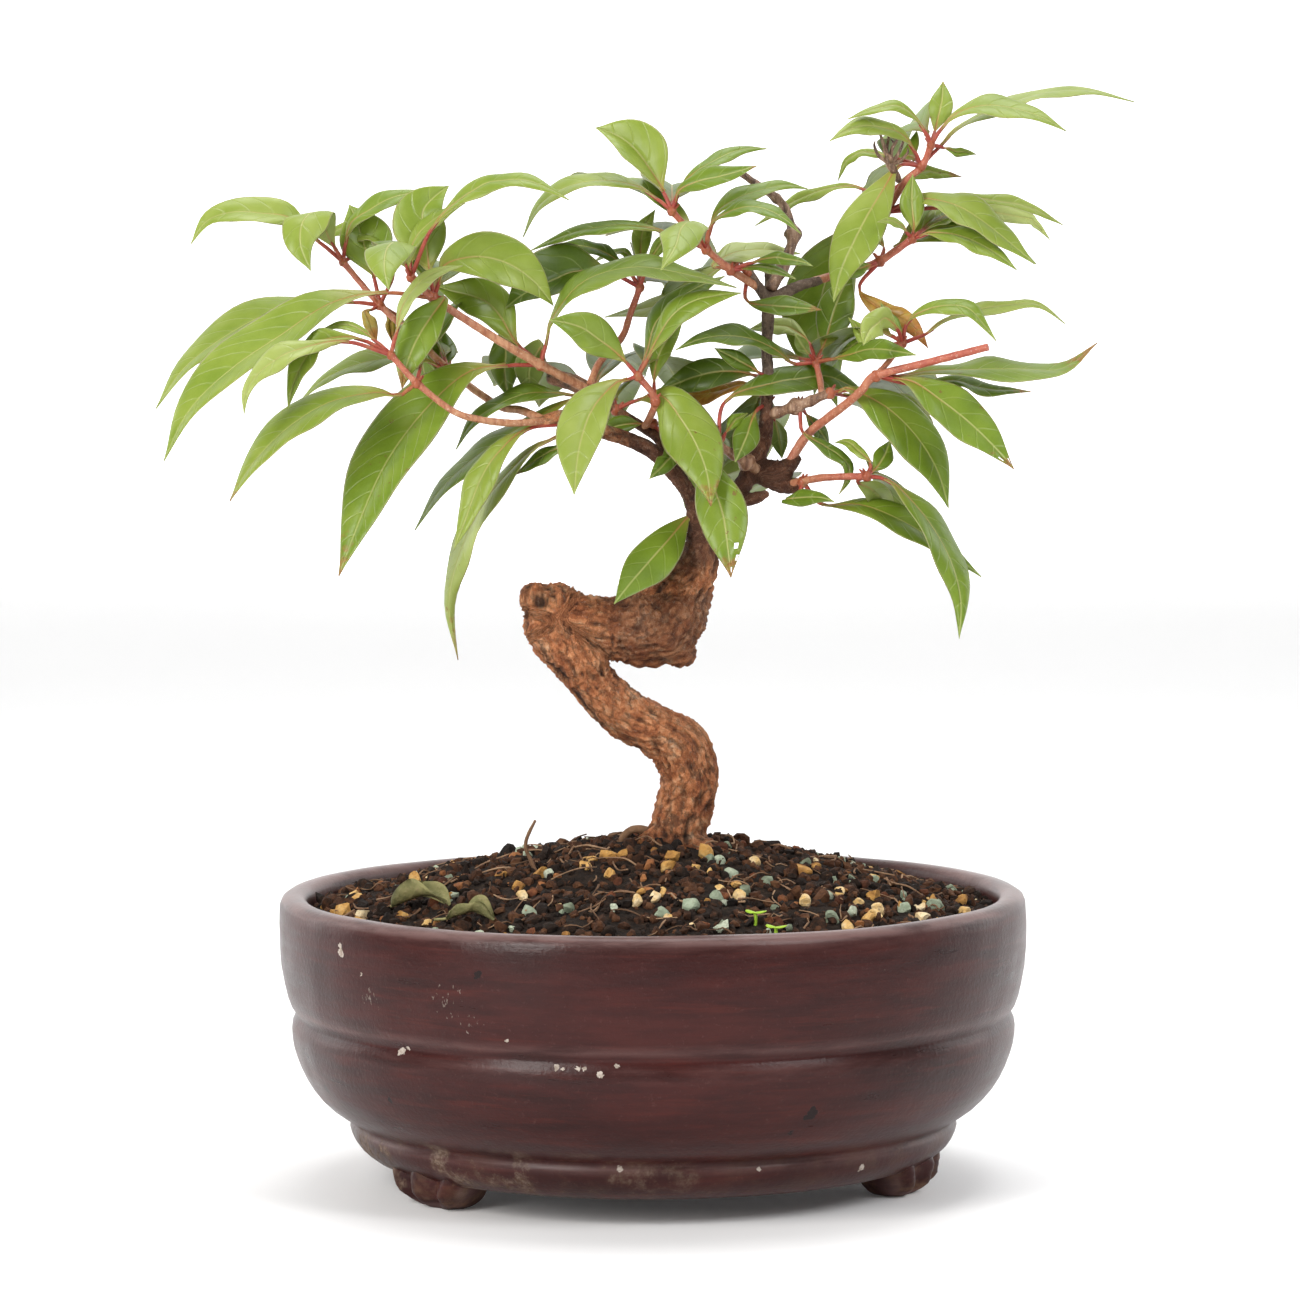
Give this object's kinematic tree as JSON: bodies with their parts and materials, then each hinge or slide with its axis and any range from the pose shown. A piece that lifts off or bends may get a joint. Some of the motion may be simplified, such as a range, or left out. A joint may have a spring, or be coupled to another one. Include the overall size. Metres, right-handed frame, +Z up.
{
  "type": "firebush bonsai",
  "caption": "Firebush bonsai with a Z-shaped trunk, red-stalked leaf whorls and an upright inner bough, rooted in a round footed brown clay pot.",
  "frame": {"origin": "on the table surface, under the middle of the whole plant and pot seen from above", "axes": "+Z up; -Y is the front, the side the picture shows; +X to the right in the front view"},
  "size_m": [0.264, 0.2008, 0.2953],
  "materials": {
    "clay": "dark red-brown fired clay, satin, chipped at the feet",
    "mesh_plastic": "matte green-black",
    "bark": "rough tan and brown bark, matte",
    "soil": "dark peat with tan and grey grit, matte",
    "green_stem": "young pinkish-tan bark, satin",
    "dry_wood": "dry brown wood, matte",
    "leaf": "fresh yellow-green leaf, satin, pale veins and reddish stalks",
    "dry_leaf": "dry olive leaf, matte",
    "seedling": "bright green seedling, satin"
  },
  "bodies": {
    "root": {"pot": "clay", "drain_screen": "mesh_plastic", "trunk_and_boughs": "bark", "soil": "soil", "stem_upper_left": "green_stem", "stem_left": "green_stem", "stem_low_left": "green_stem", "stem_crown": "green_stem", "stem_centre": "green_stem", "stem_front": "green_stem", "spur_hanging": "green_stem", "branch_right": "green_stem", "stem_long_right": "green_stem", "stem_right_side": "green_stem", "stem_inner_right": "green_stem", "stem_lower_right": "green_stem", "stem_dry_twisted": "dry_wood", "stem_upper_right": "green_stem", "stem_top_right": "green_stem", "leaves_left_shoot_tip": "leaf", "leaves_left_shoot_middle": "leaf", "leaves_left_shoot_base": "leaf", "leaves_low_shoot_tip": "leaf", "leaf_low_shoot": "leaf", "leaves_upper_left_tip": "leaf", "leaves_upper_left_middle": "leaf", "leaves_upper_left_base": "leaf", "leaves_grey_bough_end": "leaf", "leaf_left_bough_hanging": "leaf", "leaves_left_bough_end": "leaf", "leaves_centre_shoot_tip": "leaf", "leaves_crown_shoot_middle": "leaf", "leaves_crown_shoot_tip": "leaf", "leaves_crown_shoot_base": "leaf", "leaves_top_fork": "leaf", "leaves_front_shoot_tip": "leaf", "leaf_front_shoot_base": "leaf", "leaf_grey_bough_front": "leaf", "leaves_hanging_spur": "leaf", "leaf_trunk_neck": "leaf", "leaves_left_bough_front": "leaf", "leaves_upright_bough_top": "leaf", "leaves_inner_right_shoot": "leaf", "leaf_right_branch_end": "leaf", "leaves_right_shoot": "leaf", "leaves_right_side_shoot": "leaf", "leaves_upper_right_node": "leaf", "leaves_upper_right_tip": "leaf", "leaves_top_right_low": "leaf", "leaves_top_right_middle": "leaf", "leaves_top_right_tip": "leaf", "leaves_lower_right_tip": "leaf", "leaves_lower_right_base": "leaf", "leaves_right_branch_base": "leaf", "leaves_upright_bough_middle": "leaf", "fallen_leaf_left": "dry_leaf", "fallen_leaf_front": "dry_leaf", "dry_twig": "dry_wood", "seedling_left": "seedling", "seedling_right": "seedling"}
  },
  "joints": []
}
